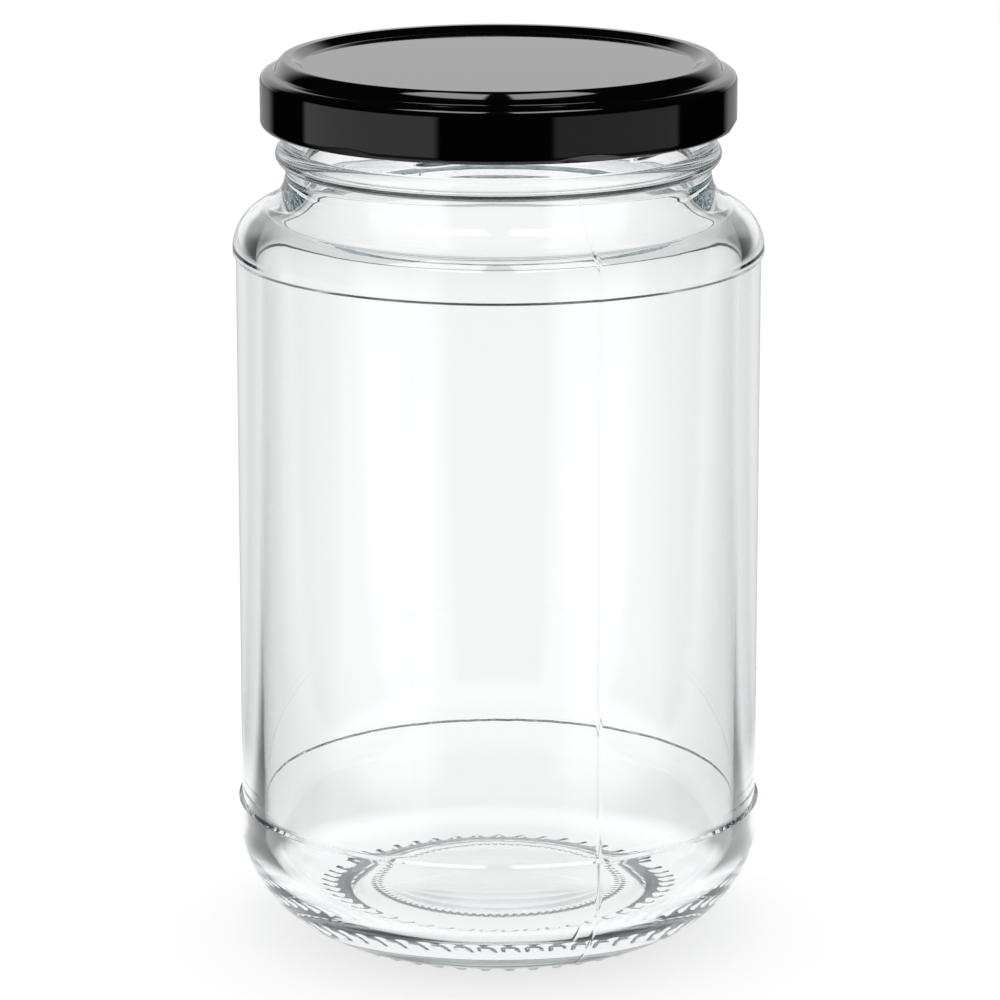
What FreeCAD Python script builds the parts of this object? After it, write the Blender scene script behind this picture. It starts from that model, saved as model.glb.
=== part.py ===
import FreeCAD, Part
import math
import os

# Round clear-glass food jar, closed with a black lacquered twist-off (lug) cap.
# Millimetres, +Z up. The origin is the centre of the ring the jar stands on.
# Every outline is drawn as a half section in the XZ plane and turned about Z.

# ---- finish, which the neck and the cap follow ------------------------------
LAND_R = 32.9           # plain wall that the thread stands on
FINISH_WALL = 2.9       # glass between the land and the mouth
FINISH_H = 13.2         # middle of the transfer bead to the rim
RIM_OUTER_ROUND = 1.3
RIM_INNER_ROUND = 1.2

# ---- jar, outside ---------------------------------------------------------
BODY_R = 40.75          # the two bands that guard the label panel
PANEL_SINK = 0.5        # how far the label panel lies inside the bands
PANEL_BOTTOM_Z = 20.9   # step from the heel band to the panel
PANEL_TOP_Z = 106.4     # step from the panel to the shoulder band
STEP_RUN = 0.5          # height over which a band steps in
BAND_LAND = 0.6         # plain band above the upper step
SHOULDER_R = 7.0        # convex shoulder
NECK_FLARE_R = 5.6      # concave blend from shoulder to neck
SHOULDER_LEAN = 64.0    # degrees the shoulder leans in at its steepest
NECK_SINK = 0.35        # how far the neck lies inside the land
NECK_H = 1.1            # plain neck between the flare and the transfer bead
BEAD_PROUD = 1.2        # how far the transfer bead stands out from the land
BEAD_ROUND = 1.7

# ---- jar, inside ----------------------------------------------------------
WALL = 3.3              # panel wall
INNER_SHOULDER_R = 4.5
INNER_FLARE_R = 7.5
INNER_SHOULDER_DROP = 0.7   # inner shoulder starts this far below the outer one
INNER_HEEL_R = 12.0
FLOOR_EDGE_Z = 5.2      # inner floor where the inner heel begins
FLOOR_CROWN = 2.2       # rise of the inner floor to its centre

# ---- jar, underside -------------------------------------------------------
BEARING_INSET = 13.15   # bands to the middle of the ring the jar stands on
BEARING_W = 2.8         # width of that ring where it leaves the heel
BEARING_FLAT = 0.9      # width of its flat underside
BEARING_H = 0.5         # how far the ring stands below the heel
HEEL_R = 19.0
COVE_RUN = 9.0          # middle of the bearing ring to the flat of the push-up
PUSHUP_H = 3.8          # height of that flat
PUSHUP_CROWN = 0.4
PUSHUP_LAND = 0.7       # plain flat outside the mark ring
MARK_RING_W = 0.9       # ring that the bottom plate leaves round the flat
MARK_RING_H = 0.35

# ---- thread: one short lead for each lug of the cap -------------------------
LUGS = 6
FIRST_LUG_AZ = -128.0   # degrees from +X, seen from above
LEAD_PROUD = 1.1        # how far a lead stands out from the land
LEAD_H = 2.2            # height of a lead where it meets the land
LEAD_CREST_H = 0.9
LEAD_SPAN = 74.0        # degrees that one lead runs round the neck
LEAD_RISE = 6.4         # climb over that span, anticlockwise
LEAD_RUNOUT = 9.0       # degrees over which each end fades away
LUG_AT = 0.6            # share of the lead's span at which a closed lug sits
LEAD_ROOT = 0.5         # how deep the lead is rooted in the wall
LEAD_STEPS = 14

# ---- cap ------------------------------------------------------------------
SHEET = 0.25            # tinplate
SKIRT_CLEAR = 2.1       # inside of the skirt to the crest of the thread
CAP_H = 10.4
RECESS_PLAY = 0.1       # edge of the flat centre panel to the mouth
RECESS_DEPTH = 0.95
CREST_START = 1.5       # mouth to the inner edge of the raised ring over the rim
CREST_OVERHANG = 0.1    # outer edge of the raised ring past the land
GUTTER_OUT = 1.3        # land to the foot of the raised ring's outer side
GUTTER_DEPTH = 1.9
SHOULDER_DROP = 0.35    # fall of the cap's shoulder from gutter to skirt
RECESS_ROUND = 0.8
CREST_ROUND = 0.6
GUTTER_ROUND = 0.7
CAP_SHOULDER_ROUND = 1.4
CURL_R = 1.05           # rolled lower edge
LUG_ANGLE = 20.0        # degrees of curl pressed in to make one lug
LUG_CLEAR = 0.25        # lug tip to land
LUG_PLAY = 0.15         # lug top to the underside of its lead
LUG_THICK = 0.9
LUG_LIFT = 0.6          # underside of a lug above the cap's lower edge
DENT_TOP = 1.25         # top of the pressed facet above the cap's lower edge
DENT_DEPTH = 0.8        # how far it leans in at the lower edge

# ---- sealing ring ---------------------------------------------------------
SEAL_THICK = 1.15       # compound between the glass rim and the raised ring
SEAL_SIDE = 0.25        # compound's shoulder to the corners of the cap's channel
RIM_OVERLAP = 0.5       # how far the compound reaches past the flat of the rim

# ---- radii that follow from the sizes above ---------------------------------
BORE_R = LAND_R - FINISH_WALL
NECK_R = LAND_R - NECK_SINK
BEAD_R = LAND_R + BEAD_PROUD
LEAD_R = LAND_R + LEAD_PROUD
PANEL_R = BODY_R - PANEL_SINK
INNER_R = PANEL_R - WALL
BEARING_R = BODY_R - BEARING_INSET
PUSHUP_R = BEARING_R - COVE_RUN
RECESS_R = BORE_R - RECESS_PLAY
CREST_IN_R = BORE_R + CREST_START
CREST_OUT_R = LAND_R + CREST_OVERHANG
GUTTER_R = LAND_R + GUTTER_OUT
CAP_R = LEAD_R + SKIRT_CLEAR + SHEET


def pt(r, z):
    """Point of a half section: radius and height."""
    return FreeCAD.Vector(r, 0, z)


def on_circle(centre_r, centre_z, radius, degrees):
    a = math.radians(degrees)
    return pt(centre_r + radius * math.cos(a), centre_z + radius * math.sin(a))


def arc(centre_r, centre_z, radius, start, end):
    """Three points of an arc; angles in degrees, 0 pointing away from the axis."""
    middle = (start + end) / 2
    return tuple(on_circle(centre_r, centre_z, radius, a) for a in (start, middle, end))


def bow(a, b, rise):
    """Shallow arc from a to b whose middle stands rise above the chord."""
    return (a, (a + b) * 0.5 + FreeCAD.Vector(0, 0, rise), b)


def dome(edge_r, edge_z, crown):
    """Arc centred on the axis, from an edge up to a crown standing above that edge."""
    radius = (edge_r ** 2 + crown ** 2) / (2 * crown)
    centre_z = edge_z + crown - radius
    return arc(0, centre_z, radius, math.degrees(math.acos(edge_r / radius)), 90)


def backwards(items):
    """The same outline run the other way."""
    return [item[::-1] if isinstance(item, tuple) else item for item in reversed(items)]


def section_face(items):
    """Closed face from points and arcs in order, joined by straight lines."""
    edges = []
    runs = [item if isinstance(item, tuple) else (item,) for item in items]
    for run, following in zip(runs, runs[1:] + runs[:1]):
        if len(run) == 3:
            edges.append(Part.Arc(*run).toShape())
        if run[-1].distanceToPoint(following[0]) > 1e-7:
            edges.append(Part.makeLine(run[-1], following[0]))
    return Part.Face(Part.Wire(edges))


def turned(items, degrees=360):
    """Solid made by turning a closed half section about the jar's axis."""
    return section_face(items).revolve(FreeCAD.Vector(0, 0, 0), FreeCAD.Vector(0, 0, 1), degrees)


def spun(shape, degrees):
    """Copy of a shape, turned about the jar's axis."""
    copy = shape.copy()
    copy.rotate(FreeCAD.Vector(0, 0, 0), FreeCAD.Vector(0, 0, 1), degrees)
    return copy


def lug_azimuths():
    return [FIRST_LUG_AZ + index * 360.0 / LUGS for index in range(LUGS)]


def shoulder(body_r, neck_r, start_z, convex_r, concave_r):
    """S-shaped run from a vertical body up to a vertical neck: its two arcs and its end."""
    lean = math.radians(SHOULDER_LEAN)
    reach = body_r - neck_r - (convex_r + concave_r) * (1 - math.cos(lean))
    straight = reach / math.sin(lean)
    end_z = start_z + (convex_r + concave_r) * math.sin(lean) + straight * math.cos(lean)
    convex = (body_r - convex_r, start_z, convex_r, 0, SHOULDER_LEAN)
    concave = (neck_r + concave_r, end_z, concave_r, 180 + SHOULDER_LEAN, 180)
    return [convex, concave], end_z


def rounded(corners):
    """Points and arcs of an open outline whose corners (r, z, radius) are rounded."""
    items = []
    for index, (r, z, radius) in enumerate(corners):
        here = pt(r, z)
        if radius == 0:
            items.append(here)
            continue
        before = (pt(*corners[index - 1][:2]) - here).normalize()
        after = (pt(*corners[index + 1][:2]) - here).normalize()
        half = before.getAngle(after) / 2
        along = radius / math.tan(half)
        middle = (before + after).normalize() * (radius / math.sin(half) - radius)
        items.append((here + before * along, here + middle, here + after * along))
    return items


def inset(corners, thickness):
    """The same outline moved sideways by a sheet's thickness, its roundings kept parallel."""
    points = [pt(r, z) for r, z, _ in corners]
    normals = []
    for a, b in zip(points, points[1:]):
        along = (b - a).normalize()
        normals.append(FreeCAD.Vector(along.z, 0, -along.x))
    moved = []
    last = len(points) - 1
    for index, point in enumerate(points):
        before = normals[max(index - 1, 0)]
        after = normals[min(index, last - 1)]
        mitre = (before + after) * (thickness / (1 + before.dot(after)))
        shifted = point + mitre
        convex = before.cross(after).y > 0
        radius = corners[index][2]
        if radius > 0:
            radius += -thickness if convex else thickness
        moved.append((shifted.x, shifted.z, radius))
    return moved


# ---- heights that follow from the sizes above -------------------------------
SHOULDER_Z = PANEL_TOP_Z + STEP_RUN + BAND_LAND
OUTER_SHOULDER, NECK_Z = shoulder(BODY_R, NECK_R, SHOULDER_Z, SHOULDER_R, NECK_FLARE_R)
INNER_SHOULDER, INNER_NECK_Z = shoulder(
    INNER_R, BORE_R, SHOULDER_Z - INNER_SHOULDER_DROP, INNER_SHOULDER_R, INNER_FLARE_R
)
BEAD_MID_R = BEAD_R - BEAD_ROUND
BEAD_LOW = math.degrees(math.acos((NECK_R - BEAD_MID_R) / BEAD_ROUND))
BEAD_HIGH = math.degrees(math.acos((LAND_R - BEAD_MID_R) / BEAD_ROUND))
BEAD_Z = NECK_Z + NECK_H + BEAD_ROUND * math.sin(math.radians(BEAD_LOW))
RIM_Z = BEAD_Z + FINISH_H
CAP_TOP_Z = RIM_Z + SEAL_THICK + SHEET
CAP_BOTTOM_Z = CAP_TOP_Z - CAP_H
LUG_TOP_Z = CAP_BOTTOM_Z + LUG_LIFT + LUG_THICK


def jar_outside():
    """Half outline of the outer skin, from the axis below up to the rim."""
    ring_out_r = PUSHUP_R + MARK_RING_W
    foot_in_r = BEARING_R - BEARING_W / 2
    foot_out_r = BEARING_R + BEARING_W / 2
    cove_mid_r = ring_out_r + PUSHUP_LAND
    cove_rise = PUSHUP_H - BEARING_H
    cove_r = ((foot_in_r - cove_mid_r) ** 2 + cove_rise ** 2) / (2 * cove_rise)
    cove_angle = math.degrees(math.asin((cove_r - cove_rise) / cove_r))
    heel_mid_r = BODY_R - HEEL_R
    heel_angle = math.degrees(math.acos((foot_out_r - heel_mid_r) / HEEL_R))
    heel_z = BEARING_H + HEEL_R * math.sin(math.radians(heel_angle))
    under = [
        dome(PUSHUP_R, PUSHUP_H, PUSHUP_CROWN)[::-1],
        bow(pt(PUSHUP_R, PUSHUP_H), pt(ring_out_r, PUSHUP_H), -MARK_RING_H),
        arc(cove_mid_r, PUSHUP_H - cove_r, cove_r, 90, cove_angle),
        bow(pt(foot_in_r, BEARING_H), pt(BEARING_R - BEARING_FLAT / 2, 0), -BEARING_H / 6),
        bow(pt(BEARING_R + BEARING_FLAT / 2, 0), pt(foot_out_r, BEARING_H), -BEARING_H / 6),
        arc(heel_mid_r, heel_z, HEEL_R, -heel_angle, 0),
    ]
    wall = [
        pt(BODY_R, PANEL_BOTTOM_Z - STEP_RUN),
        pt(PANEL_R, PANEL_BOTTOM_Z),
        pt(PANEL_R, PANEL_TOP_Z),
        pt(BODY_R, PANEL_TOP_Z + STEP_RUN),
    ]
    neck = [arc(*spec) for spec in OUTER_SHOULDER]
    bead = arc(BEAD_MID_R, BEAD_Z, BEAD_ROUND, -BEAD_LOW, BEAD_HIGH)
    rim = arc(LAND_R - RIM_OUTER_ROUND, RIM_Z - RIM_OUTER_ROUND, RIM_OUTER_ROUND, 0, 90)
    return under + wall + neck + [bead, rim]


def jar_inside():
    """Half outline of the inner skin, from the rim down to the axis."""
    rim = arc(BORE_R + RIM_INNER_ROUND, RIM_Z - RIM_INNER_ROUND, RIM_INNER_ROUND, 90, 180)
    neck = backwards([arc(*spec) for spec in INNER_SHOULDER])
    heel_mid_r = INNER_R - INNER_HEEL_R
    heel = arc(heel_mid_r, FLOOR_EDGE_Z + INNER_HEEL_R, INNER_HEEL_R, 0, -90)
    return [rim] + neck + [heel, dome(heel_mid_r, FLOOR_EDGE_Z, FLOOR_CROWN)]


def lead_section(degrees, height, depth):
    """Sloped-sided section of a thread lead that stands depth proud of the land."""
    flank = (LEAD_H - LEAD_CREST_H) / 2 / (LEAD_R - LAND_R)
    half_root = LEAD_H / 2 + flank * LEAD_ROOT
    half_top = LEAD_H / 2 - flank * depth
    root_r = LAND_R - LEAD_ROOT
    top_r = LAND_R + depth
    corners = [
        pt(root_r, height - half_root),
        pt(top_r, height - half_top),
        pt(top_r, height + half_top),
        pt(root_r, height + half_root),
    ]
    return spun(Part.makePolygon(corners + corners[:1]), degrees)


def thread_lead():
    """One lead, climbing anticlockwise, that fades into the land at both ends."""
    sections = []
    lug_share = LUG_ANGLE / 2 / LEAD_SPAN
    lead_foot_z = LUG_TOP_Z + LUG_PLAY + LEAD_H / 2 - LEAD_RISE * (LUG_AT - lug_share)
    for step in range(LEAD_STEPS + 1):
        share = step / LEAD_STEPS
        from_end = min(share, 1 - share) * LEAD_SPAN
        fade = math.sin(math.pi / 2 * min(1.0, from_end / LEAD_RUNOUT))
        depth = (LEAD_R - LAND_R) * fade - LEAD_ROOT / 4 * (1 - fade)
        sections.append(lead_section(share * LEAD_SPAN, lead_foot_z + share * LEAD_RISE, depth))
    lead = Part.makeLoft(sections, True, False)
    return spun(lead, -LUG_AT * LEAD_SPAN)


def glass_jar():
    """The jar: one piece of glass, open at the mouth, with one thread lead for each lug."""
    blank = turned(jar_outside() + jar_inside())
    lead = thread_lead()
    return blank.fuse([spun(lead, azimuth) for azimuth in lug_azimuths()])


def cap_corners():
    """Outer outline of the cap's sheet, from the centre panel out to the curl."""
    recess_z = CAP_TOP_Z - RECESS_DEPTH
    gutter_z = CAP_TOP_Z - GUTTER_DEPTH
    return [
        (0, recess_z, 0),
        (RECESS_R, recess_z, RECESS_ROUND),
        (CREST_IN_R, CAP_TOP_Z, CREST_ROUND),
        (CREST_OUT_R, CAP_TOP_Z, CREST_ROUND),
        (GUTTER_R, gutter_z, GUTTER_ROUND),
        (CAP_R, gutter_z - SHOULDER_DROP, CAP_SHOULDER_ROUND),
        (CAP_R, CAP_BOTTOM_Z + CURL_R, 0),
    ]


def cap_shell():
    """Sheet cap with its rolled lower edge, before the lugs are pressed."""
    outer = rounded(cap_corners())
    inner = rounded(inset(cap_corners(), SHEET))
    skirt = turned(outer + backwards(inner))
    curl = Part.makeTorus(CAP_R - CURL_R, CURL_R, pt(0, CAP_BOTTOM_Z + CURL_R))
    return skirt.fuse(curl)


def lug_dent():
    """Wedge outside the curl; its inner face is the flat that pressing a lug leaves."""
    wide = CAP_R
    low = pt(CAP_R - DENT_DEPTH, CAP_BOTTOM_Z)
    high = pt(CAP_R, CAP_BOTTOM_Z + DENT_TOP)
    slope = high - low
    above = high + slope
    below = low - slope
    corners = [below, above, above + pt(wide, 0), below + pt(wide, 0)]
    wedge = section_face(corners)
    wedge.translate(FreeCAD.Vector(0, -wide / 2, 0))
    return wedge.extrude(FreeCAD.Vector(0, wide, 0))


def lug():
    """Tongue of folded curl that reaches in under a thread lead."""
    tip_r = LAND_R + LUG_CLEAR
    root_r = CAP_R - DENT_DEPTH
    low = LUG_TOP_Z - LUG_THICK
    nose = LUG_THICK / 2
    section = [
        arc(tip_r + nose, low + nose, nose, 270, 90),
        pt(root_r, LUG_TOP_Z),
        pt(root_r, low),
    ]
    return spun(turned(section, LUG_ANGLE), -LUG_ANGLE / 2)


def lid_cap():
    """Twist-off cap: panel, raised ring, gutter, skirt, curl and pressed lugs."""
    dents = [spun(lug_dent(), azimuth) for azimuth in lug_azimuths()]
    tongues = [spun(lug(), azimuth) for azimuth in lug_azimuths()]
    return cap_shell().cut(dents).fuse(tongues)


def lid_seal():
    """Ring of sealing compound between the glass rim and the cap's raised ring."""
    channel = inset(cap_corners(), SHEET)
    roof_in_r, roof_z, _ = channel[2]
    roof_out_r = channel[3][0]
    rim_flat_in = BORE_R + RIM_INNER_ROUND
    rim_flat_out = LAND_R - RIM_OUTER_ROUND
    corners = [
        pt(rim_flat_in - RIM_OVERLAP, RIM_Z),
        pt(rim_flat_out + RIM_OVERLAP, RIM_Z),
        pt(roof_out_r - SEAL_SIDE, roof_z),
        pt(roof_in_r + SEAL_SIDE, roof_z),
    ]
    return turned(corners)


def write(name, solid):
    """Check one finished piece and export it as its own STEP file."""
    solid = solid.removeSplitter()
    solids = solid.Solids
    if len(solids) != 1 or not solids[0].isValid():
        raise RuntimeError("%s is not one valid solid" % name)
    solids[0].exportStep("parts/%s.step" % name)
    print("%s %.1f mm3" % (name, solids[0].Volume))


def main():
    os.makedirs("parts", exist_ok=True)
    write("glass_jar", glass_jar())
    write("lid_cap", lid_cap())
    write("lid_seal", lid_seal())
    print("height %.2f mm, across %.2f mm" % (CAP_TOP_Z, 2 * BODY_R))


main()
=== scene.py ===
import math

import bpy
import numpy as np
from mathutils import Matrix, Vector

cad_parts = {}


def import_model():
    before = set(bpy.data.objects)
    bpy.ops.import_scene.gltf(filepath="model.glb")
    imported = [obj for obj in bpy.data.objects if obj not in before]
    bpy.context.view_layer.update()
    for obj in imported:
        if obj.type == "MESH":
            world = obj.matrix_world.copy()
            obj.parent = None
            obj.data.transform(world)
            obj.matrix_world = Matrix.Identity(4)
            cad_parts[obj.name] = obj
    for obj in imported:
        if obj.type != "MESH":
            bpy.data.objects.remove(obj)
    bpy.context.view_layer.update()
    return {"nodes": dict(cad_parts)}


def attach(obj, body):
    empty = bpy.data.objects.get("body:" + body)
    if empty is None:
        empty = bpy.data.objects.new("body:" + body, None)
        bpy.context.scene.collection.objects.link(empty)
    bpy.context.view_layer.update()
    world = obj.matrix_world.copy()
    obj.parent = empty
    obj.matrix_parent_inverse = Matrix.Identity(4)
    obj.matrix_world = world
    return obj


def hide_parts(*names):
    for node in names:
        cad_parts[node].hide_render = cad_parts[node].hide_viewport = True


# Round clear-glass jar with a black lacquered twist-off cap, on a plain white floor.
# Outlines are half sections (radius, height) in millimetres, turned about Z.

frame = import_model()

MM = 0.001

# ---- the jar's sizes, as in the CAD model -----------------------------------
LAND_R = 32.9
BORE_R = 30.0
FINISH_H = 13.2
RIM_OUTER_ROUND = 1.3
RIM_INNER_ROUND = 1.2
BODY_R = 40.75
PANEL_R = 40.25
PANEL_BOTTOM_Z = 20.9
PANEL_TOP_Z = 106.4
STEP_RUN = 0.5
BAND_LAND = 0.6
SHOULDER_R = 7.0
NECK_FLARE_R = 5.6
SHOULDER_LEAN = 64.0
NECK_R = 32.55
NECK_H = 1.1
BEAD_R = 34.1
BEAD_ROUND = 1.7
WALL = 3.3
INNER_SHOULDER_R = 4.5
INNER_FLARE_R = 7.5
INNER_SHOULDER_DROP = 0.7
INNER_HEEL_R = 12.0
FLOOR_EDGE_Z = 5.2
FLOOR_CROWN = 2.2
BEARING_R = 27.6
BEARING_W = 2.8
BEARING_FLAT = 0.9
BEARING_H = 0.5
HEEL_R = 19.0
PUSHUP_R = 18.6
PUSHUP_H = 3.8
PUSHUP_CROWN = 0.4
PUSHUP_LAND = 0.7
MARK_RING_W = 0.9
MARK_RING_H = 0.35
LUGS = 6
FIRST_LUG_AZ = -128.0
LEAD_R = 34.0
LEAD_H = 2.2
LEAD_CREST_H = 0.9
LEAD_SPAN = 74.0
LEAD_RISE = 6.4
LEAD_RUNOUT = 9.0
LUG_AT = 0.6

# ---- the cap's sizes, as in the CAD model -----------------------------------
SHEET = 0.25
CAP_H = 10.4
CAP_R = 36.35
RECESS_R = 29.9
RECESS_DEPTH = 0.95
CREST_IN_R = 31.5
CREST_OUT_R = 33.0
GUTTER_R = 34.2
GUTTER_DEPTH = 1.9
SHOULDER_DROP = 0.35
RECESS_ROUND = 0.8
CREST_ROUND = 0.6
GUTTER_ROUND = 0.7
CAP_SHOULDER_ROUND = 1.4
CURL_R = 1.05
LUG_ANGLE = 20.0
LUG_CLEAR = 0.25
LUG_PLAY = 0.15
LUG_THICK = 0.9
LUG_LIFT = 0.6
DENT_TOP = 1.25
DENT_DEPTH = 0.8
SEAL_THICK = 1.15

# ---- moulding detail that only the looks need -------------------------------
BAND_CORNER = 0.18      # rounding where a band steps in to the panel
NUBS = 48               # knurled crescents of the bearing ring
NUB_SHARE = 0.28        # share of the pitch at which a nub starts to fall away
NUB_FALL = 0.6          # share over which it falls
NUB_DEPTH = 0.95        # height of the gaps between nubs
NUB_SKEW = 0.08         # share of the pitch by which a nub leans across the ring
TEETH = 96              # fine knurl on the ring of the push-up
TOOTH_SLOPE = 0.9       # how steep a tooth's side is
SEAM_AZ = (-68.0, 112.0)    # where the mould halves meet
SEAM_W = 0.45
SEAM_H = 0.09
PARTING_Z = 118.5       # neck ring parting line
PARTING_H = 0.08
PARTING_W = 0.5
RING_SIDE_SWELL = 0.12  # how round the side of the cap's raised ring is
LUG_ROOT = 0.2          # how far a lug's tongue reaches into the pressed facet
FACET_HALF = 0.3        # radians each way that one pressed facet can reach

# ---- surface unevenness; lengths in millimetres ------------------------------
WAVINESS = 0.025        # of the inner wall
WAVE_SEED = 7
WAVE_TURNS = (2, 15)    # waves round the jar: fewest, and one past the most
WAVE_FADE = 0.8         # how fast the finer waves die away
WAVE_SWELL = 0.4        # share of a wave that swells with height
WAVE_SWELL_Z = 19.0     # how slowly
WAVE_LEAN = 0.25        # radians that a wave leans with height
WAVE_LEAN_Z = 30.0      # how slowly
WAVE_MIN_R = 20.0       # the inner floor within this radius is even
GLASS_RIPPLE = 0.01     # these three are the distances of bumps
LACQUER_PEEL = 0.0006
COMPOUND_GRAIN = 0.02

# ---- mesh density -----------------------------------------------------------
ROUND_STEPS = 180       # azimuths of a plain ring of the glass
THREAD_STEPS = 240      # of the rings that carry the thread
FOOT_STEPS = 12 * NUBS  # of the rings that carry the nubs
CAP_STEPS = 180
SEAM_FAN = (1.0, 9)     # extra azimuths at a seam: half width, count
LUG_FAN = (14.0, 43)    # and at a lug
FAN_MARGIN = 1.02       # plain azimuths this close round a fan are dropped
LUG_TURNS = 21          # sections along a lug's tongue
ARC_STEP = 0.55         # longest step along an arc
SHORTEST_ARC = 6        # fewest steps along an arc
DOME_STEP = 0.9
COVE_STEP = 0.75
BEAD_STEP = 0.25
RIM_STEP = 0.3
CURL_STEP = 0.12
SLOPE_ROWS = 5          # rows of the straight runs and of the foot's two sides
FOOT_ROWS = 6
FLAT_ROWS = 4
LAND_ROWS = 60
BORE_ROWS = 14
WALL_ROWS = 24
EASED_ROWS = 5          # rows in a rounded corner of the bands
CAP_OUT_ROWS = 10       # in one of the cap's, outside
CAP_IN_ROWS = 8         # and inside
CAP_OUT_STEP = 0.4      # longest step between corners, outside
CAP_IN_STEP = 3.0       # and inside
SKIRT_ROWS = 6          # fine rows over the height of the pressed facets
SKIRT_ABOVE = 0.3       # how far those rows go on above the facets
SKIRT_GAP = 0.1         # least distance from them to the coarser rows
SAME_POINT = 1e-4       # outline points nearer than this are one
FLAT_R = PUSHUP_R - 0.5             # the underside is plain within this radius
NUBBED_Z = 2 * NUB_DEPTH            # rings below this carry the azimuths of the nubs
PARTING_MAX_R = BODY_R - 2          # the parting line isn't on the shoulder's outer part

# ---- glass, lacquer and compound --------------------------------------------
GLASS_IOR = 1.52
GLASS_GRAIN = (130.0, 2.0)      # scale and detail of a noise
GLASS_SHADOW = (0.9, 0.92, 0.91, 1)
GLASS_TINT = (0.56, 0.74, 0.78, 1)
GLASS_TINT_DENSITY = 9.0
LACQUER_TONES = ((0.0012, 0.0012, 0.0013, 1), (0.0022, 0.0022, 0.0024, 1))
LACQUER_GRAIN = (90.0, 4.0)
LACQUER_ROUGHNESS = (0.035, 0.075)
LACQUER_PEEL_GRAIN = (900.0, 2.0)
LACQUER_IOR = 1.6
COMPOUND_TONES = ((0.70, 0.70, 0.67, 1), (0.80, 0.80, 0.77, 1))
COMPOUND_MOTTLE = (400.0, 3.0)
COMPOUND_ROUGHNESS = (0.45, 0.6)
NOISE_SPREAD = (0.3, 0.7)       # where most of a noise lies

# ---- studio -----------------------------------------------------------------
# Turns are degrees round from the front, the same to the left and right.
# Pairs of levels are for the left and the right.
FLOOR_SIZE = 6.0
FLOOR_DROP = 0.00005
FLOOR_TONE = 0.42               # colour that the shadow falls on
FLOOR_GLOW = 0.70               # what brings the floor up to white
AMBIENT = 0.75                  # the world's light on the object
# In reflections
SIDE_WALL = (29.0, 105.0)       # turns between which the room is lit
SIDE_WALL_SOFT = 2.0
SIDE_WALL_SKEW = 1.12           # the right one starts and ends nearer the front
SIDE_LEVEL = (0.46, 0.26)
SIDE_FADE = (0.535, 0.585)      # metres away over which the side walls brighten
SIDE_FALL = (0.25, 1.3)         # their share of the level before and after that
BACK_LOW_FROM = (134.0, 146.0)  # turns over which the backdrop starts, on the floor
BACK_LOW = 0.45
BACK_FROM = (130.0, 150.0)      # and above it
BACK_GLOSS = 1.15
BACK_TOP = (34.0, 22.0)         # elevations at which the backdrop ends and is whole
TABLE_EDGE = 0.11               # the white table reaches this far from the object
TABLE_SOFT = 0.02
BOX_RISE = (52.0, 72.0)         # elevations of the soft boxes
BOX_TURN = (10.0, 70.0)
BOX_SOFT = 2.0
BOX_LEVEL = 6.0                 # seen only as glints
# Through the glass
BOX_THROUGH = 0.1               # share of the soft boxes' level
FRONT_THROUGH = 0.2             # level from straight in front up to the first step
THROUGH_STEPS = (               # turn, half softness, level on the left and right
    (28.0, 4.0, 0.95, 0.95),
    (75.0, 5.0, 0.1, 0.25),
    (128.0, 5.0, 0.9, 0.9),
    (160.0, 10.0, 1.04, 1.04),
)
HIGH_CARD = (128.0, 165.0)      # turns of a card that stands above the horizon
HIGH_CARD_SOFT = 6.0
HIGH_CARD_RISE = (-1.0, 3.0)
HIGH_CARD_LEVEL = 0.12
THROUGH_RISE = (14.0, 45.0)     # elevations over which the room dims
THROUGH_DIM = 0.4
# Painted light: through the glass the floor under the jar glows brighter than it does to the
# camera, lifting the cap's shadow there.
UNDER_JAR_PAINTED_LIGHT = 1.25             # level of the floor under the jar
NEAR_FLOOR = (0.042, 0.054)     # metres over which that ends
# Camera and lamp
CAMERA_RISE = 13.9              # degrees above the horizon
CAMERA_DISTANCE = 0.81
CAMERA_LENS = 187.9             # millimetres, as is the sensor
CAMERA_SENSOR = 36.0
CAMERA_AIM = (0.00023, 0.0, 0.0673)
LAMP_PLACE = (0.0, 0.1, 1.2)
LAMP_AIM = (0.0, 0.0, 0.06)
LAMP_SIZE = 0.4
LAMP_POWER = 4.0
LIGHT_STEPS = 24                # light runs round inside thick glass many times


# ---- outlines ---------------------------------------------------------------
def arc(centre_r, centre_z, radius, start, end, step=ARC_STEP):
    """Points of an arc; angles in degrees, 0 pointing away from the axis."""
    length = abs(math.radians(end - start)) * radius
    count = max(SHORTEST_ARC, math.ceil(length / step))
    angles = np.radians(np.linspace(start, end, count + 1))
    return [(centre_r + radius * math.cos(a), centre_z + radius * math.sin(a)) for a in angles]


def straight(a, b, count):
    """Points from a to b, both included."""
    return [tuple(p) for p in np.linspace(a, b, count + 1)]


def bow(a, b, rise, count=8):
    """Shallow parabola from a to b whose middle stands rise above the chord."""
    shares = np.linspace(0, 1, count + 1)
    return [
        (a[0] + (b[0] - a[0]) * t, a[1] + (b[1] - a[1]) * t + 4 * rise * t * (1 - t))
        for t in shares
    ]


def dome(edge_r, edge_z, crown):
    """Arc centred on the axis, from an edge up to its crown."""
    radius = (edge_r ** 2 + crown ** 2) / (2 * crown)
    start = math.degrees(math.acos(edge_r / radius))
    return arc(0, edge_z + crown - radius, radius, start, 90, DOME_STEP)


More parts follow.
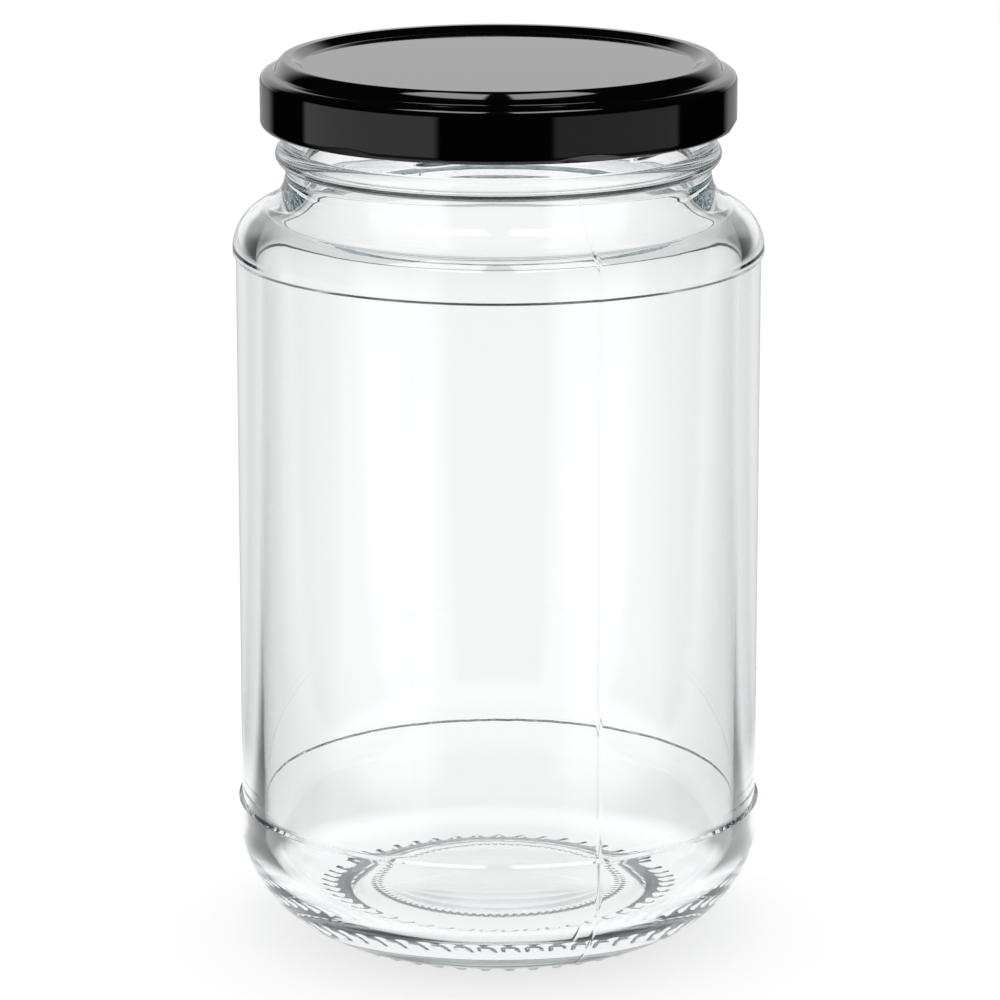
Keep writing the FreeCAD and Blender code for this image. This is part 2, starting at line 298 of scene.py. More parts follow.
def eased(corners, steps=EASED_ROWS):
    """Outline through corners (r, z, radius) with each corner rounded."""
    outline = []
    for index, (r, z, radius) in enumerate(corners):
        here = np.array((r, z))
        if radius == 0:
            outline.append((r, z))
            continue
        before = np.array(corners[index - 1][:2]) - here
        after = np.array(corners[index + 1][:2]) - here
        before = before / np.linalg.norm(before)
        after = after / np.linalg.norm(after)
        half = math.acos(np.clip(np.dot(before, after), -1, 1)) / 2
        along = radius / math.tan(half)
        for t in np.linspace(0, 1, steps + 1):
            bend = (1 - t) ** 2 * before * along + t ** 2 * after * along
            outline.append(tuple(here + bend))
    return outline


def shoulder(body_r, neck_r, start_z, convex_r, concave_r):
    """S-shaped run from a vertical body up to a vertical neck, and the height it ends at."""
    lean = math.radians(SHOULDER_LEAN)
    reach = body_r - neck_r - (convex_r + concave_r) * (1 - math.cos(lean))
    slope = reach / math.sin(lean)
    end_z = start_z + (convex_r + concave_r) * math.sin(lean) + slope * math.cos(lean)
    convex = arc(body_r - convex_r, start_z, convex_r, 0, SHOULDER_LEAN)
    concave = arc(neck_r + concave_r, end_z, concave_r, 180 + SHOULDER_LEAN, 180)
    return convex + straight(convex[-1], concave[0], SLOPE_ROWS)[1:-1] + concave, end_z


INNER_R = PANEL_R - WALL
SHOULDER_Z = PANEL_TOP_Z + STEP_RUN + BAND_LAND
OUTER_SHOULDER, NECK_Z = shoulder(BODY_R, NECK_R, SHOULDER_Z, SHOULDER_R, NECK_FLARE_R)
INNER_SHOULDER, _ = shoulder(
    INNER_R, BORE_R, SHOULDER_Z - INNER_SHOULDER_DROP, INNER_SHOULDER_R, INNER_FLARE_R
)
BEAD_MID_R = BEAD_R - BEAD_ROUND
BEAD_LOW = math.degrees(math.acos((NECK_R - BEAD_MID_R) / BEAD_ROUND))
BEAD_HIGH = math.degrees(math.acos((LAND_R - BEAD_MID_R) / BEAD_ROUND))
BEAD_Z = NECK_Z + NECK_H + BEAD_ROUND * math.sin(math.radians(BEAD_LOW))
RIM_Z = BEAD_Z + FINISH_H
CAP_TOP_Z = RIM_Z + SEAL_THICK + SHEET
CAP_BOTTOM_Z = CAP_TOP_Z - CAP_H
LUG_TOP_Z = CAP_BOTTOM_Z + LUG_LIFT + LUG_THICK
LUG_AZ = [FIRST_LUG_AZ + index * 360.0 / LUGS for index in range(LUGS)]
RING_OUT_R = PUSHUP_R + MARK_RING_W
FOOT_IN_R = BEARING_R - BEARING_W / 2
FOOT_OUT_R = BEARING_R + BEARING_W / 2
HEEL_MID_R = BODY_R - HEEL_R
HEEL_ANGLE = math.degrees(math.acos((FOOT_OUT_R - HEEL_MID_R) / HEEL_R))
HEEL_Z = BEARING_H + HEEL_R * math.sin(math.radians(HEEL_ANGLE))


def underside():
    """From the axis out to the foot of the heel."""
    cove_mid_r = RING_OUT_R + PUSHUP_LAND
    cove_rise = PUSHUP_H - BEARING_H
    cove_r = ((FOOT_IN_R - cove_mid_r) ** 2 + cove_rise ** 2) / (2 * cove_rise)
    cove_angle = math.degrees(math.asin((cove_r - cove_rise) / cove_r))
    return (
        dome(PUSHUP_R, PUSHUP_H, PUSHUP_CROWN)[::-1]
        + bow((PUSHUP_R, PUSHUP_H), (RING_OUT_R, PUSHUP_H), -MARK_RING_H)[1:]
        + arc(cove_mid_r, PUSHUP_H - cove_r, cove_r, 90, cove_angle, COVE_STEP)
    )


def foot():
    """Round bar that the jar stands on."""
    flat_in = (BEARING_R - BEARING_FLAT / 2, 0)
    flat_out = (BEARING_R + BEARING_FLAT / 2, 0)
    swell = -BEARING_H / 6
    return (
        bow((FOOT_IN_R, BEARING_H), flat_in, swell, FOOT_ROWS)
        + straight(flat_in, flat_out, FLAT_ROWS)[1:-1]
        + bow(flat_out, (FOOT_OUT_R, BEARING_H), swell, FOOT_ROWS)
    )


def body():
    """Heel, lower band, label panel and upper band."""
    heel = arc(HEEL_MID_R, HEEL_Z, HEEL_R, -HEEL_ANGLE, 0)[1:]
    low_step = eased([
        (BODY_R, PANEL_BOTTOM_Z - STEP_RUN - BAND_LAND, 0),
        (BODY_R, PANEL_BOTTOM_Z - STEP_RUN, BAND_CORNER),
        (PANEL_R, PANEL_BOTTOM_Z, BAND_CORNER),
        (PANEL_R, PANEL_BOTTOM_Z + BAND_LAND, 0),
    ])
    high_step = eased([
        (PANEL_R, PANEL_TOP_Z - BAND_LAND, 0),
        (PANEL_R, PANEL_TOP_Z, BAND_CORNER),
        (BODY_R, PANEL_TOP_Z + STEP_RUN, BAND_CORNER),
        (BODY_R, PANEL_TOP_Z + STEP_RUN + BAND_LAND / 2, 0),
    ])
    panel = straight(low_step[-1], high_step[0], WALL_ROWS)[1:-1]
    return heel + low_step + panel + high_step


def neck():
    """Shoulder, neck and transfer bead."""
    bead = arc(BEAD_MID_R, BEAD_Z, BEAD_ROUND, -BEAD_LOW, BEAD_HIGH, BEAD_STEP)
    return OUTER_SHOULDER + straight(OUTER_SHOULDER[-1], bead[0], SLOPE_ROWS)[1:-1] + bead


def finish():
    """Plain land that the thread stands on, and the rounded rim."""
    top = arc(
        LAND_R - RIM_OUTER_ROUND, RIM_Z - RIM_OUTER_ROUND, RIM_OUTER_ROUND, 0, 90, RIM_STEP
    )
    low = (LAND_R, BEAD_Z + BEAD_ROUND * math.sin(math.radians(BEAD_HIGH)))
    land = straight(low, top[0], LAND_ROWS)[1:]
    inner = arc(
        BORE_R + RIM_INNER_ROUND, RIM_Z - RIM_INNER_ROUND, RIM_INNER_ROUND, 90, 180, RIM_STEP
    )
    return land, top[1:] + inner


def inside():
    """From the bore down to the axis on the inner floor."""
    throat = INNER_SHOULDER[::-1]
    heel_mid_r = INNER_R - INNER_HEEL_R
    heel = arc(heel_mid_r, FLOOR_EDGE_Z + INNER_HEEL_R, INNER_HEEL_R, 0, -90)
    bore = straight((BORE_R, RIM_Z - RIM_INNER_ROUND), throat[0], BORE_ROWS)[1:-1]
    wall = straight(throat[-1], heel[0], WALL_ROWS)[1:-1]
    return bore + throat + wall + heel + dome(heel_mid_r, FLOOR_EDGE_Z, FLOOR_CROWN)[1:]


# ---- relief on the glass ----------------------------------------------------
def azimuths(steps, middles=(), fan=(0.0, 0)):
    """Sorted azimuths in degrees: evenly spaced, with a finer fan round each middle."""
    half, count = fan
    values = list(np.arange(steps) * 360.0 / steps - 180.0)
    for middle in middles:
        middle = (middle + 180.0) % 360.0 - 180.0
        values = [v for v in values if abs(v - middle) > half * FAN_MARGIN or v == -180.0]
        values += list(middle + np.linspace(-half, half, count))
    return np.array(sorted(v for v in values if -180.0 <= v < 180.0))


def smoothstep(x):
    x = np.clip(x, 0, 1)
    return x * x * (3 - 2 * x)


def turn_distance(az, middle):
    return (az - middle + 180.0) % 360.0 - 180.0


def seam_relief(az, r):
    """Fine ridge where the two mould halves meet."""
    relief = np.zeros_like(az)
    for middle in SEAM_AZ:
        across = np.radians(turn_distance(az, middle)) * r
        relief += SEAM_H * np.exp(-(across / (SEAM_W / 2)) ** 2)
    return relief


def parting_relief(z):
    """Fine ridge where the neck ring meets the mould."""
    return PARTING_H * np.exp(-((z - PARTING_Z) / (PARTING_W / 2)) ** 2)


def nub_relief(az, r, z):
    """Lift that cuts the gaps between the crescents of the bearing ring."""
    pitch = 360.0 / NUBS
    skew = NUB_SKEW * pitch * (r - BEARING_R) / (BEARING_W / 2)
    phase = np.abs(((az + skew) / pitch) % 1.0 - 0.5) * 2
    return smoothstep((phase - NUB_SHARE) / NUB_FALL) * (NUB_DEPTH - z)


def tooth_relief(az, z):
    """Lift that notches the ring of the push-up."""
    phase = np.cos(np.radians(az * TEETH))
    return (PUSHUP_H - z) * smoothstep(0.5 + TOOTH_SLOPE * phase)


def lead_relief(az, z):
    """How far the thread stands proud of the land."""
    lug_share = LUG_ANGLE / 2 / LEAD_SPAN
    foot_z = LUG_TOP_Z + LUG_PLAY + LEAD_H / 2 - LEAD_RISE * (LUG_AT - lug_share)
    relief = np.zeros_like(az)
    for lug in LUG_AZ:
        share = (az - lug + LUG_AT * LEAD_SPAN) % 360.0 / LEAD_SPAN
        from_end = np.minimum(share, 1 - share) * LEAD_SPAN
        fade = np.sin(math.pi / 2 * np.clip(from_end / LEAD_RUNOUT, 0, 1))
        off = np.abs(z - foot_z - share * LEAD_RISE)
        flank = smoothstep((LEAD_H / 2 - off) / ((LEAD_H - LEAD_CREST_H) / 2))
        relief = np.maximum(relief, np.where(share <= 1, fade * flank, 0))
    return relief * (LEAD_R - LAND_R)


def waviness(az, z):
    """Slow unevenness of blown glass, the same on every run."""
    rng = np.random.default_rng(WAVE_SEED)
    a = np.radians(az)
    wave = np.zeros_like(a)
    for turns in range(*WAVE_TURNS):
        phase, lean, height = rng.uniform(0, 2 * math.pi, 3)
        swell = 1 - WAVE_SWELL + WAVE_SWELL * np.sin(z / WAVE_SWELL_Z + height)
        bend = WAVE_LEAN * np.sin(z / WAVE_LEAN_Z + lean)
        wave += np.cos(turns * a + phase + bend) * swell / turns ** WAVE_FADE
    return WAVINESS * wave


# ---- meshes -----------------------------------------------------------------
class Lathe:
    """Closed turned mesh whose rings may have different azimuths."""

    def __init__(self):
        self.points = []
        self.faces = []
        self.last = None

    def pole(self, z):
        self.points.append((0.0, 0.0, z))
        self.join([len(self.points) - 1], np.array([-180.0]))

    def ring(self, r, z, az):
        """r and z are numbers or one value for each azimuth."""
        first = len(self.points)
        a = np.radians(az)
        r = np.broadcast_to(r, az.shape)
        z = np.broadcast_to(z, az.shape)
        self.points.extend(zip(r * np.cos(a), r * np.sin(a), z))
        self.join(list(range(first, first + len(az))), az)

    def join(self, ring, az):
        if self.last is not None:
            self.faces.extend(stitched(*self.last, ring, az))
        self.last = (ring, az)


def stitched(low, low_az, high, high_az):
    """Faces between two rings; quads where their azimuths match."""
    if len(low) == 1:
        return [(low[0], b, a) for a, b in zip(high, high[1:] + high[:1])]
    if len(high) == 1:
        return [(a, b, high[0]) for a, b in zip(low, low[1:] + low[:1])]
    if len(low) == len(high) and np.allclose(low_az, high_az):
        count = len(low)
        return [
            (low[i], low[(i + 1) % count], high[(i + 1) % count], high[i]) for i in range(count)
        ]
    faces = []
    i = j = 0
    low_turn = list(low_az) + [low_az[0] + 360.0]
    high_turn = list(high_az) + [high_az[0] + 360.0]
    while i < len(low) or j < len(high):
        a, b = low[i % len(low)], high[j % len(high)]
        if j == len(high) or (i < len(low) and low_turn[i + 1] <= high_turn[j + 1]):
            faces.append((a, low[(i + 1) % len(low)], b))
            i += 1
        else:
            faces.append((a, high[(j + 1) % len(high)], b))
            j += 1
    return faces


def mesh_object(name, points, faces):
    """Smooth-shaded object in the scene, from points in millimetres."""
    mesh = bpy.data.meshes.new(name)
    mesh.from_pydata((np.array(points) * MM).tolist(), [], faces)
    mesh.validate()
    mesh.polygons.foreach_set("use_smooth", [True] * len(mesh.polygons))
    mesh.update()
    obj = bpy.data.objects.new(name, mesh)
    bpy.context.scene.collection.objects.link(obj)
    return obj


def directions(outline):
    """Unit normals of an outline, to the right of its run, which is outwards."""
    run = np.gradient(np.array(outline), axis=0)
    run /= np.linalg.norm(run, axis=1)[:, None]
    return np.stack([run[:, 1], -run[:, 0]], axis=1)


def glass_rings():
    """The jar's whole outline, with each point's part of the jar and azimuths."""
    plain = azimuths(ROUND_STEPS)
    seamed = azimuths(ROUND_STEPS, SEAM_AZ, SEAM_FAN)
    nubbed = azimuths(FOOT_STEPS)
    threaded = azimuths(THREAD_STEPS)
    land, rim = finish()
    parts = [
        ("under", underside(), nubbed),
        ("foot", foot(), nubbed),
        ("body", body(), seamed),
        ("neck", neck(), seamed),
        ("land", land, threaded),
        ("rim", rim, plain),
        ("inside", inside(), plain),
    ]
    outline = []
    labels = []
    for label, points, usual in parts:
        for point in points:
            if outline and math.dist(point, outline[-1]) < SAME_POINT:
                continue
            r, z = point
            az = usual
            if label == "under" and r < FLAT_R:
                az = plain
            elif z < NUBBED_Z:
                az = nubbed
            outline.append(point)
            labels.append((label, az))
    return outline, labels


def glass_relief(label, r, z, az):
    """How far the glass stands out from its outline."""
    if label == "body":
        return seam_relief(az, r)
    if label == "neck":
        ridge = parting_relief(z) if r < PARTING_MAX_R else 0.0
        return ridge + (seam_relief(az, r) if z < BEAD_Z - BEAD_ROUND else 0.0)
    if label == "land":
        return lead_relief(az, z)
    if label == "inside" and r > WAVE_MIN_R:
        return waviness(az, z)
    return 0.0


def glass_lift(label, r, z, az):
    """How far the underside is raised from its outline."""
    lift = nub_relief(az, r, z) if z < NUB_DEPTH else 0.0
    if label == "under" and PUSHUP_R < r < RING_OUT_R:
        lift = lift + tooth_relief(az, z)
    return lift


def glass_mesh():
    outline, labels = glass_rings()
    lathe = Lathe()
    lathe.pole(outline[0][1])
    rings = list(zip(outline, directions(outline), labels))[1:-1]
    for (r, z), (out_r, out_z), (label, az) in rings:
        height = glass_relief(label, r, z, az)
        lift = glass_lift(label, r, z, az)
        lathe.ring(r + out_r * height, z + out_z * height + lift, az)
    lathe.pole(outline[-1][1])
    return mesh_object("jar_glass", lathe.points, lathe.faces)


def cap_corners():
    """Outer outline of the cap's sheet, from its centre to the curl."""
    recess_z = CAP_TOP_Z - RECESS_DEPTH
    gutter_z = CAP_TOP_Z - GUTTER_DEPTH
    return [
        (0, recess_z, 0),
        (RECESS_R, recess_z, RECESS_ROUND),
        (CREST_IN_R, CAP_TOP_Z, CREST_ROUND),
        (CREST_OUT_R, CAP_TOP_Z, CREST_ROUND),
        (GUTTER_R, gutter_z, GUTTER_ROUND),
        (CAP_R, gutter_z - SHOULDER_DROP, CAP_SHOULDER_ROUND),
        (CAP_R, CAP_BOTTOM_Z + CURL_R, 0),
    ]


def inset(corners, thickness):
    """The corners moved inwards by the sheet's thickness, rounds following."""
    moved = []
    for index, (r, z, radius) in enumerate(corners):
        normals = []
        if index > 0:
            r0, z0, _ = corners[index - 1]
            normals.append(np.array((z - z0, -(r - r0))) / math.dist((r, z), (r0, z0)))
        if index < len(corners) - 1:
            r1, z1, _ = corners[index + 1]
            normals.append(np.array((z1 - z, -(r1 - r))) / math.dist((r, z), (r1, z1)))
        bisector = sum(normals) / len(normals)
        bisector = bisector / np.dot(bisector, bisector)
        before, after = normals[0], normals[-1]
        turns_in = before[0] * after[1] - before[1] * after[0] < 0
        new_radius = radius + (-thickness if turns_in else thickness) if radius else 0
        moved.append((r + bisector[0] * thickness, z + bisector[1] * thickness, new_radius))
    return moved


def filled(outline, longest):
    """The outline with points added so that no step is too long."""
    points = [outline[0]]
    for p in outline[1:]:
        count = math.ceil(math.dist(p, points[-1]) / longest)
        points += straight(points[-1], p, max(1, count))[1:]
    return points


def bulged(outline):
    """The side of the raised ring made a little round."""
    points = []
    for r, z in outline:
        share = (r - CREST_OUT_R) / (GUTTER_R - CREST_OUT_R)
        swell = RING_SIDE_SWELL * 4 * share * (1 - share) if 0 < share < 1 else 0
        points.append((r + swell, z + swell / 2))
    return points


def cap_outline():
    """Closed section of the cap's sheet: inside, round the curl, and back over the top."""
    outer = bulged(filled(eased(cap_corners(), CAP_OUT_ROWS), CAP_OUT_STEP))
    inner = filled(eased(inset(cap_corners(), SHEET), CAP_IN_ROWS), CAP_IN_STEP)
    meets = math.degrees(math.acos((CURL_R - SHEET) / CURL_R))
    curl = arc(CAP_R - CURL_R, CAP_BOTTOM_Z + CURL_R, CURL_R, meets, 360, CURL_STEP)
    inner = [p for p in inner if p[1] > curl[0][1]]
    skirt_z = CAP_BOTTOM_Z + DENT_TOP + SKIRT_ABOVE
    low_skirt = straight(curl[-1], (CAP_R, skirt_z), SKIRT_ROWS)[1:]
    outer = [p for p in outer if p[1] > skirt_z + SKIRT_GAP]
    return inner + curl + low_skirt + outer[::-1]


def facet_limit(az, r, z):
    """Radius to which the facets pressed in over the lugs hold the skirt."""
    limit = np.full_like(az, np.inf)
    if z > CAP_BOTTOM_Z + 2 * DENT_TOP or r < CAP_R - CURL_R:
        return limit
    flat = CAP_R - DENT_DEPTH / DENT_TOP * (DENT_TOP - z + CAP_BOTTOM_Z)
    for lug in LUG_AZ:
        across = np.radians(turn_distance(az, lug))
        facet = np.where(np.abs(across) < FACET_HALF, flat / np.cos(across), np.inf)
        limit = np.minimum(limit, facet)
    return limit


def cap_mesh():
    az = azimuths(CAP_STEPS, LUG_AZ, LUG_FAN)
    outline = cap_outline()
    lathe = Lathe()
    lathe.pole(outline[0][1])
    for r, z in outline[1:-1]:
        lathe.ring(np.minimum(r, facet_limit(az, r, z)), z, az)
    lathe.pole(outline[-1][1])
    points, faces = lathe.points, lathe.faces
    for lug in LUG_AZ:
        more, sides = lug_tongue(lug)
        faces += [tuple(i + len(points) for i in side) for side in sides]
        points += more
    return mesh_object("twist_off_cap", points, faces)


def lug_tongue(middle):
    """Points and faces of one tongue of folded curl under a thread lead."""
    nose = LUG_THICK / 2
    low = LUG_TOP_Z - LUG_THICK
    root_r = CAP_R - DENT_DEPTH - LUG_ROOT
    section = arc(LAND_R + LUG_CLEAR + nose, low + nose, nose, 270, 90)
    section += [(root_r, LUG_TOP_Z), (root_r, low)]
    turns = np.radians(middle + np.linspace(-LUG_ANGLE / 2, LUG_ANGLE / 2, LUG_TURNS))
    points = [(r * math.cos(a), r * math.sin(a), z) for a in turns for r, z in section]
    count = len(section)
    faces = [tuple(range(count))[::-1], tuple(range(len(points) - count, len(points)))]
    for row in range(len(turns) - 1):
        for i in range(count):
            a, b = row * count + i, row * count + (i + 1) % count
            faces.append((a, b, b + count, a + count))
    return points, faces


# ---- materials --------------------------------------------------------------
def new_material(name):
    material = bpy.data.materials.new(name)
    material.use_nodes = True
    material.node_tree.nodes.clear()
    return material, material.node_tree.nodes, material.node_tree.links


def unevenness(nodes, links, scale, detail):
    """Noise over the object's own coordinates, in metres."""
    place = nodes.new("ShaderNodeTexCoord")
    noise = nodes.new("ShaderNodeTexNoise")
    noise.inputs["Scale"].default_value = scale
    noise.inputs["Detail"].default_value = detail
    links.new(place.outputs["Object"], noise.inputs["Vector"])
    return noise.outputs["Fac"]


def ranged(nodes, links, value, low, high):
    """Most of a noise spread over low to high."""
    spread = nodes.new("ShaderNodeMapRange")
    spread.inputs["From Min"].default_value = NOISE_SPREAD[0]
    spread.inputs["From Max"].default_value = NOISE_SPREAD[1]
    spread.inputs["To Min"].default_value = low
    spread.inputs["To Max"].default_value = high
    links.new(value, spread.inputs["Value"])
    return spread.outputs[0]


def bumped(nodes, links, height, distance, surface):
    """Give the surface a bump; distance in millimetres."""
    bump = nodes.new("ShaderNodeBump")
    bump.inputs["Strength"].default_value = 1.0
    bump.inputs["Distance"].default_value = distance * MM
    links.new(height, bump.inputs["Height"])
    links.new(bump.outputs["Normal"], surface.inputs["Normal"])


def glass_material():
    """Clear flint glass, faintly cool where it is thick, with a mould-cooled skin."""
    material, nodes, links = new_material("clear_glass")
    out = nodes.new("ShaderNodeOutputMaterial")
    glass = nodes.new("ShaderNodeBsdfPrincipled")
    glass.inputs["Base Color"].default_value = (1, 1, 1, 1)
    glass.inputs["Roughness"].default_value = 0.0
    glass.inputs["IOR"].default_value = GLASS_IOR
    glass.inputs["Transmission Weight"].default_value = 1.0
    bumped(nodes, links, unevenness(nodes, links, *GLASS_GRAIN), GLASS_RIPPLE, glass)
    path = nodes.new("ShaderNodeLightPath")
    clear = nodes.new("ShaderNodeBsdfTransparent")
    clear.inputs["Color"].default_value = GLASS_SHADOW
    mix = nodes.new("ShaderNodeMixShader")
    links.new(path.outputs["Is Shadow Ray"], mix.inputs["Fac"])
    links.new(glass.outputs["BSDF"], mix.inputs[1])
    links.new(clear.outputs["BSDF"], mix.inputs[2])
    tint = nodes.new("ShaderNodeVolumeAbsorption")
    tint.inputs["Color"].default_value = GLASS_TINT
    tint.inputs["Density"].default_value = GLASS_TINT_DENSITY
    links.new(mix.outputs["Shader"], out.inputs["Surface"])
    links.new(tint.outputs["Volume"], out.inputs["Volume"])
    return material


def mottled(name, tones, grain, roughness):
    """Material whose tone and roughness follow one noise, with what its bump needs."""
    material, nodes, links = new_material(name)
    out = nodes.new("ShaderNodeOutputMaterial")
    skin = nodes.new("ShaderNodeBsdfPrincipled")
    tone = nodes.new("ShaderNodeMix")
    tone.data_type = "RGBA"
    tone.inputs[6].default_value, tone.inputs[7].default_value = tones
    mottle = unevenness(nodes, links, *grain)
    links.new(mottle, tone.inputs[0])
    links.new(tone.outputs[2], skin.inputs["Base Color"])
    links.new(ranged(nodes, links, mottle, *roughness), skin.inputs["Roughness"])
    links.new(skin.outputs["BSDF"], out.inputs["Surface"])
    return material, nodes, links, skin, mottle


def lacquer_material():
    """Black stoving lacquer: faint orange peel, gloss that varies a little."""
    material, nodes, links, paint, _ = mottled(
        "black_lacquer", LACQUER_TONES, LACQUER_GRAIN, LACQUER_ROUGHNESS
    )
    paint.inputs["IOR"].default_value = LACQUER_IOR
    bumped(nodes, links, unevenness(nodes, links, *LACQUER_PEEL_GRAIN), LACQUER_PEEL, paint)
    return material


def seal_material():
    """Off-white sealing compound with a dull, slightly uneven skin."""
    material, nodes, links, soft, mottle = mottled(
        "seal_compound", COMPOUND_TONES, COMPOUND_MOTTLE, COMPOUND_ROUGHNESS
    )
    bumped(nodes, links, mottle, COMPOUND_GRAIN, soft)
    return material


# ---- stage ------------------------------------------------------------------
class Wires:
    """Short ways to build maths in a node tree."""

    def __init__(self, tree):
        self.nodes = tree.nodes
        self.links = tree.links

    def put(self, socket, value):
        if isinstance(value, bpy.types.NodeSocket):
            self.links.new(value, socket)
        else:
            socket.default_value = value

    def maths(self, operation, a, b=0.0):
        node = self.nodes.new("ShaderNodeMath")
        node.operation = operation
        self.put(node.inputs[0], a)
        self.put(node.inputs[1], b)
        return node.outputs[0]

    def times(self, a, b):
        return self.maths("MULTIPLY", a, b)

    def most(self, a, b):
        return self.maths("MAXIMUM", a, b)

    def blend(self, share, a, b):
        node = self.nodes.new("ShaderNodeMix")
        node.data_type = "FLOAT"
        self.put(node.inputs[0], share)
        self.put(node.inputs[2], a)
        self.put(node.inputs[3], b)
        return node.outputs[0]

    def rise(self, value, low, high):
        """0 below low, 1 above high, smooth between; with low above high it falls."""
        node = self.nodes.new("ShaderNodeMapRange")
        node.interpolation_type = "SMOOTHSTEP"
        self.put(node.inputs["Value"], value)
        backwards = low > high
        node.inputs["From Min"].default_value = min(low, high)
        node.inputs["From Max"].default_value = max(low, high)
        node.inputs["To Min"].default_value = 1.0 if backwards else 0.0
        node.inputs["To Max"].default_value = 0.0 if backwards else 1.0
        return node.outputs[0]

    def window(self, value, low, high, soft):
        """1 between low and high, 0 outside, soft each way."""
        inner = self.rise(value, low - soft, low + soft)
        outer = self.rise(value, high + soft, high - soft)
        return self.times(inner, outer)

    def split(self, vector):
        node = self.nodes.new("ShaderNodeSeparateXYZ")
        self.links.new(vector, node.inputs[0])
        return node.outputs

    def around(self, x, y):
        """Degrees round from the front, the same to the left and right."""
        angle = self.maths("ARCTAN2", x, self.times(y, -1.0))
        return self.maths("DEGREES", self.maths("ABSOLUTE", angle))

    def right(self, x):
        """1 on the right, 0 on the left."""
        return self.maths("GREATER_THAN", x, 0.0)


def room_low(wires, around, right, far):
    """What the room shows at and below the height of the object, seen in reflections."""
    turned = wires.times(around, wires.blend(right, 1.0, SIDE_WALL_SKEW))
    sides = wires.window(turned, *SIDE_WALL, SIDE_WALL_SOFT)
    level = wires.times(sides, wires.blend(right, *SIDE_LEVEL))
    lit = wires.times(level, wires.blend(wires.rise(far, *SIDE_FADE), *SIDE_FALL))
    back = wires.times(wires.rise(around, *BACK_LOW_FROM), BACK_LOW)
    return wires.most(lit, back)


def room_through(wires, around, right):
    """What the room shows through the glass, from its front round to its back."""
    level = FRONT_THROUGH
    for edge, soft, left_level, right_level in THROUGH_STEPS:
        beyond = wires.blend(right, left_level, right_level)
        level = wires.blend(wires.rise(around, edge - soft, edge + soft), level, beyond)
    return level


def floor_material():
    """White floor: matt to light, glowing to the camera, in reflections and through glass."""
    material, nodes, links = new_material("floor_white")
    wires = Wires(material.node_tree)
    path = nodes.new("ShaderNodeLightPath")
    place = nodes.new("ShaderNodeNewGeometry").outputs["Position"]
    x, y, _ = wires.split(place)
    around, right = wires.around(x, y), wires.right(x)
    far = wires.maths("SQRT", wires.maths("ADD", wires.times(x, x), wires.times(y, y)))
    beyond = wires.rise(far, TABLE_EDGE - TABLE_SOFT, TABLE_EDGE + TABLE_SOFT)
    mirrored = wires.blend(beyond, 1.0, room_low(wires, around, right, far))
    outside = wires.rise(far, *NEAR_FLOOR)
    # Painted light: under the jar the floor glows brighter through the glass, lifting the cap's
    # shadow.
    seen = wires.blend(outside, UNDER_JAR_PAINTED_LIGHT, room_through(wires, around, right))
    through = path.outputs["Is Transmission Ray"]
    reflection = wires.times(path.outputs["Is Glossy Ray"], wires.maths("SUBTRACT", 1.0, through))
    shown = wires.most(path.outputs["Is Camera Ray"], wires.times(through, seen))
    glow_level = wires.times(wires.most(shown, wires.times(reflection, mirrored)), FLOOR_GLOW)
    whole = wires.blend(through, wires.blend(reflection, 1.0, mirrored), seen)
    matt = nodes.new("ShaderNodeBsdfDiffuse")
    matt.inputs["Color"].default_value = (FLOOR_TONE, FLOOR_TONE, FLOOR_TONE, 1)
    hidden = nodes.new("ShaderNodeEmission")
    hidden.inputs["Strength"].default_value = 0.0
    face = nodes.new("ShaderNodeMixShader")
    links.new(whole, face.inputs["Fac"])
    links.new(hidden.outputs[0], face.inputs[1])
    links.new(matt.outputs[0], face.inputs[2])
    glow = nodes.new("ShaderNodeEmission")
    links.new(glow_level, glow.inputs["Strength"])
    both = nodes.new("ShaderNodeAddShader")
    links.new(face.outputs[0], both.inputs[0])
    links.new(glow.outputs[0], both.inputs[1])
    links.new(both.outputs[0], nodes.new("ShaderNodeOutputMaterial").inputs["Surface"])
    return material


def floor():
    mesh = bpy.data.meshes.new("floor")
    half = FLOOR_SIZE / 2
    corners = [(-half, -half), (half, -half), (half, half), (-half, half)]
    mesh.from_pydata([(x, y, -FLOOR_DROP) for x, y in corners], [], [(0, 1, 2, 3)])
    mesh.materials.append(floor_material())
    obj = bpy.data.objects.new("floor", mesh)
    bpy.context.scene.collection.objects.link(obj)


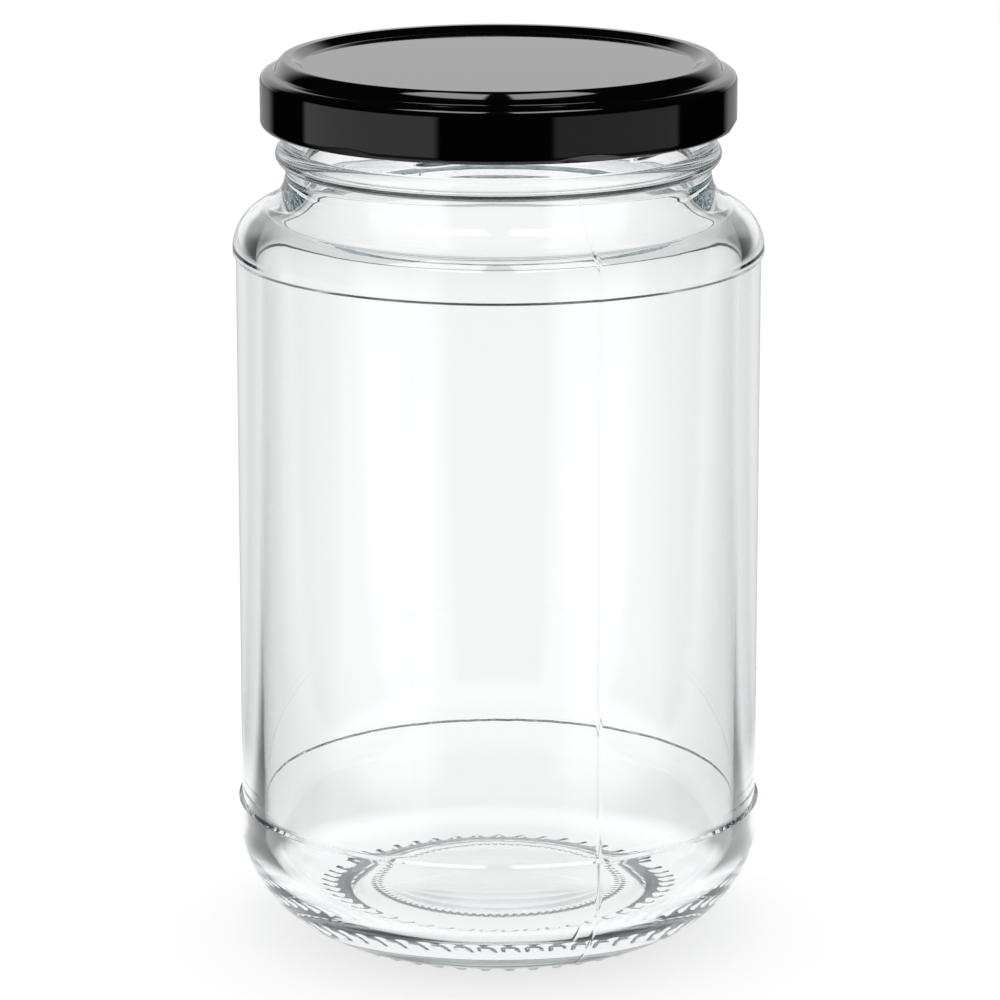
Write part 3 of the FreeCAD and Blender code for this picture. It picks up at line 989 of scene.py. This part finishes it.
def world():
    """Studio round the object: one look to the camera, one in reflections, one through glass."""
    sky = bpy.data.worlds.new("studio")
    bpy.context.scene.world = sky
    sky.use_nodes = True
    nodes, links = sky.node_tree.nodes, sky.node_tree.links
    nodes.clear()
    wires = Wires(sky.node_tree)
    path = nodes.new("ShaderNodeLightPath")
    place = nodes.new("ShaderNodeTexCoord").outputs["Generated"]
    x, y, z = wires.split(place)
    around, right = wires.around(x, y), wires.right(x)
    up = wires.maths("DEGREES", wires.maths("ARCSINE", z))
    backdrop = wires.times(wires.rise(around, *BACK_FROM), BACK_GLOSS)
    boxes = wires.times(
        wires.window(up, *BOX_RISE, BOX_SOFT), wires.window(around, *BOX_TURN, BOX_SOFT)
    )
    lit = wires.times(boxes, BOX_LEVEL)
    mirrored = wires.most(wires.times(backdrop, wires.rise(up, *BACK_TOP)), lit)
    card = wires.times(
        wires.window(around, *HIGH_CARD, HIGH_CARD_SOFT), wires.rise(up, *HIGH_CARD_RISE)
    )
    seen = wires.times(
        room_through(wires, around, right), wires.blend(card, 1.0, HIGH_CARD_LEVEL)
    )
    seen = wires.blend(wires.rise(up, *THROUGH_RISE), seen, THROUGH_DIM)
    through = wires.most(wires.times(lit, BOX_THROUGH), seen)
    level = wires.blend(path.outputs["Is Glossy Ray"], AMBIENT, mirrored)
    level = wires.blend(path.outputs["Is Transmission Ray"], level, through)
    level = wires.blend(path.outputs["Is Camera Ray"], level, 1.0)
    back = nodes.new("ShaderNodeBackground")
    links.new(level, back.inputs["Strength"])
    links.new(back.outputs[0], nodes.new("ShaderNodeOutputWorld").inputs["Surface"])


def camera():
    data = bpy.data.cameras.new("camera")
    data.lens = CAMERA_LENS
    data.sensor_width = CAMERA_SENSOR
    obj = bpy.data.objects.new("camera", data)
    bpy.context.scene.collection.objects.link(obj)
    rise = math.radians(CAMERA_RISE)
    away = Vector((0, -math.cos(rise), math.sin(rise)))
    obj.location = Vector(CAMERA_AIM) + away * CAMERA_DISTANCE
    obj.rotation_euler = (math.pi / 2 - rise, 0, 0)
    bpy.context.scene.camera = obj


def lamp():
    """Soft light above, which itself is never seen."""
    data = bpy.data.lights.new("overhead", "AREA")
    data.shape = "DISK"
    data.size = LAMP_SIZE
    data.energy = LAMP_POWER
    obj = bpy.data.objects.new("overhead", data)
    bpy.context.scene.collection.objects.link(obj)
    obj.location = LAMP_PLACE
    aim = Vector(LAMP_AIM) - Vector(LAMP_PLACE)
    obj.rotation_euler = aim.to_track_quat("-Z", "Y").to_euler()
    obj.visible_camera = False
    obj.visible_glossy = False
    obj.visible_transmission = False


camera()
world()
floor()
lamp()

glass = glass_mesh()
glass.data.materials.append(glass_material())
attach(glass, "root")
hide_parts("glass_jar")

cap = cap_mesh()
cap.data.materials.append(lacquer_material())
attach(cap, "root")
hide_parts("lid_cap")

seal = frame["nodes"]["lid_seal"].data
seal.materials.clear()
seal.materials.append(seal_material())

scene = bpy.context.scene
scene.view_settings.view_transform = "Standard"
scene.cycles.max_bounces = LIGHT_STEPS
scene.cycles.glossy_bounces = LIGHT_STEPS
scene.cycles.transmission_bounces = LIGHT_STEPS
